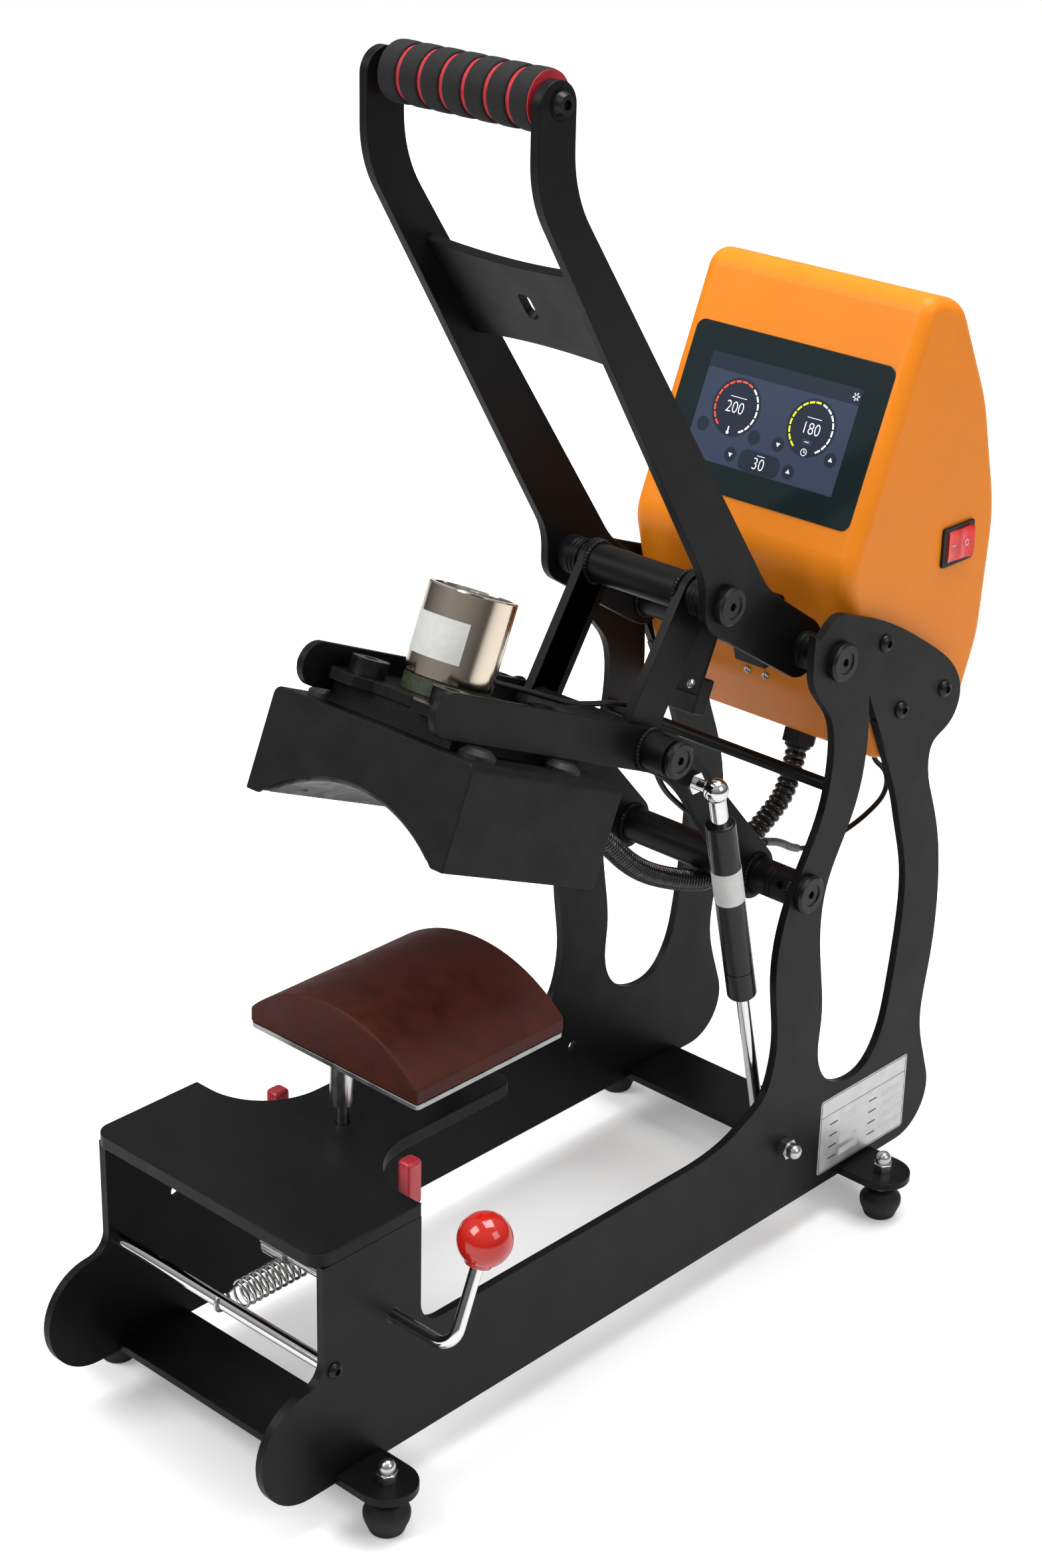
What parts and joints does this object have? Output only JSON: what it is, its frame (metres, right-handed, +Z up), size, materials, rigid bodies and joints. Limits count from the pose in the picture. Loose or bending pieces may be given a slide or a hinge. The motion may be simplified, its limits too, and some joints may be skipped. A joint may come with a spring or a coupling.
{
  "type": "cap heat press",
  "caption": "Clamshell heat press for caps: a toggle handle lowers a curved heated platen onto a domed padded platen, with a gas spring, cap clamp and tilted touch control box.",
  "frame": {"origin": "on the bench, in the middle of the four rubber feet", "axes": "+X across the machine to the side with the clamp lever and the gas spring, +Y from the operator to the control box, +Z up"},
  "size_m": [0.2786, 0.6149, 0.7478],
  "materials": {
    "black_paint": "satin powder coat",
    "black_texture": "textured powder coat",
    "black_steel": "black oxide",
    "bright_steel": "zinc plated",
    "chrome": "polished",
    "cast_aluminium": "machined",
    "steel_plate": "brushed",
    "magnet_steel": "nickel plated",
    "silicone": "soft matte",
    "foot_rubber": "matte",
    "foam": "soft matte",
    "red_liner": "soft matte",
    "red_vinyl": "satin",
    "red_knob": "gloss",
    "box_shell": "fine texture",
    "screen": "gloss",
    "black_plastic": "matte",
    "switch_red": "translucent gloss",
    "insulator": "satin",
    "conduit": "satin corrugated",
    "lead": "satin",
    "grey_sleeve": "matte"
  },
  "bodies": {
    "frame": {"side_plate_right": "black_paint", "side_plate_left": "black_paint", "cross_bars": "black_paint", "tie_rod": "black_paint", "spring_rod": "chrome", "frame_screws": "black_steel", "rubber_feet": "foot_rubber", "foot_studs": "bright_steel", "shelf": "black_paint", "platen_posts": "bright_steel", "platen_base": "steel_plate", "platen_pad": "silicone", "frame_pivot_pins": "black_steel", "frame_pivot_bosses": "black_paint", "gas_lower_stud": "bright_steel", "lever_bush": "black_steel", "box_front_shell": "box_shell", "box_rear_shell": "box_shell", "touch_screen": "screen", "switch_housing": "black_plastic", "sensor_bracket": "black_texture", "limit_switch": "black_plastic", "cable_glands": "black_plastic", "box_conduit": "conduit", "signal_lead": "grey_sleeve", "clamp_spring": "bright_steel"},
    "handle": {"handle_arm_right": "black_paint", "handle_arm_left": "black_paint", "handle_cross_tube": "black_paint", "handle_bosses": "black_paint", "handle_pins": "black_steel", "striker_plate": "black_paint", "grip_tube": "black_paint", "grip_liner": "red_liner", "grip_foam": "foam"},
    "links": {"link_frame": "black_paint"},
    "rocker": {"rocker_plate_right": "black_paint", "rocker_plate_left": "black_paint", "rocker_tube": "black_paint", "carrier_bosses": "black_paint", "carrier_pins": "black_steel", "bridge_plate": "black_paint", "bridge_screws": "black_steel", "magnet_insulator": "insulator", "magnet": "magnet_steel", "heat_block": "black_texture", "heater_housing": "black_texture", "heat_platen": "cast_aluminium", "housing_caps": "black_steel", "ball_stud": "chrome", "heater_conduit": "conduit", "magnet_lead": "lead"},
    "gas_rod": {"gas_rod": "chrome"},
    "gas_cylinder": {"gas_cylinder": "black_paint", "gas_socket": "chrome"},
    "cap_clamp": {"lever_rod": "chrome", "lever_knob": "red_knob", "clamp_yoke": "bright_steel", "clamp_grips": "red_vinyl"},
    "power_rocker": {"power_rocker": "switch_red"}
  },
  "joints": [
    {"name": "rocker_pivot", "type": "hinge", "parent": "frame", "child": "rocker", "pos_m": [0, 0.1485, 0.245], "axis": [1, 0, 0], "range_deg": [0, 23.1]},
    {"name": "handle_pivot", "type": "hinge", "parent": "frame", "child": "handle", "pos_m": [0, 0.1665, 0.388], "axis": [1, 0, 0], "range_deg": [0, 56.01]},
    {"name": "link_pivot", "type": "hinge", "parent": "handle", "child": "links", "pos_m": [0, 0.0932, 0.4343], "axis": [1, 0, 0], "range_deg": [-83.62, 0]},
    {"name": "gas_rod_pivot", "type": "hinge", "parent": "frame", "child": "gas_rod", "pos_m": [0.072, 0.1425, 0.073], "axis": [1, 0, 0], "range_deg": [0, 8.18]},
    {"name": "gas_cylinder_slide", "type": "slide", "parent": "gas_rod", "child": "gas_cylinder", "axis": [0, -0.2359, 0.9718], "range_m": [-0.02348, 0]},
    {"name": "clamp_lever", "type": "hinge", "parent": "frame", "child": "cap_clamp", "pos_m": [0, -0.1931, 0.1134], "axis": [1, 0, 0], "range_deg": [-30, 8], "deforming": ["clamp_spring"]},
    {"name": "power_rocker_pivot", "type": "hinge", "parent": "frame", "child": "power_rocker", "pos_m": [0.079, 0.2845, 0.429], "axis": [0, 0, 1], "range_deg": [-14, 0]}
  ],
  "couplings": [
    {"joint": "handle_pivot", "follows": "rocker_pivot", "ratio": 2.4242},
    {"joint": "link_pivot", "follows": "rocker_pivot", "ratio": -3.6196},
    {"joint": "gas_rod_pivot", "follows": "rocker_pivot", "ratio": 0.35403},
    {"joint": "gas_cylinder_slide", "follows": "rocker_pivot", "m_per_rad": -0.058208}
  ]
}
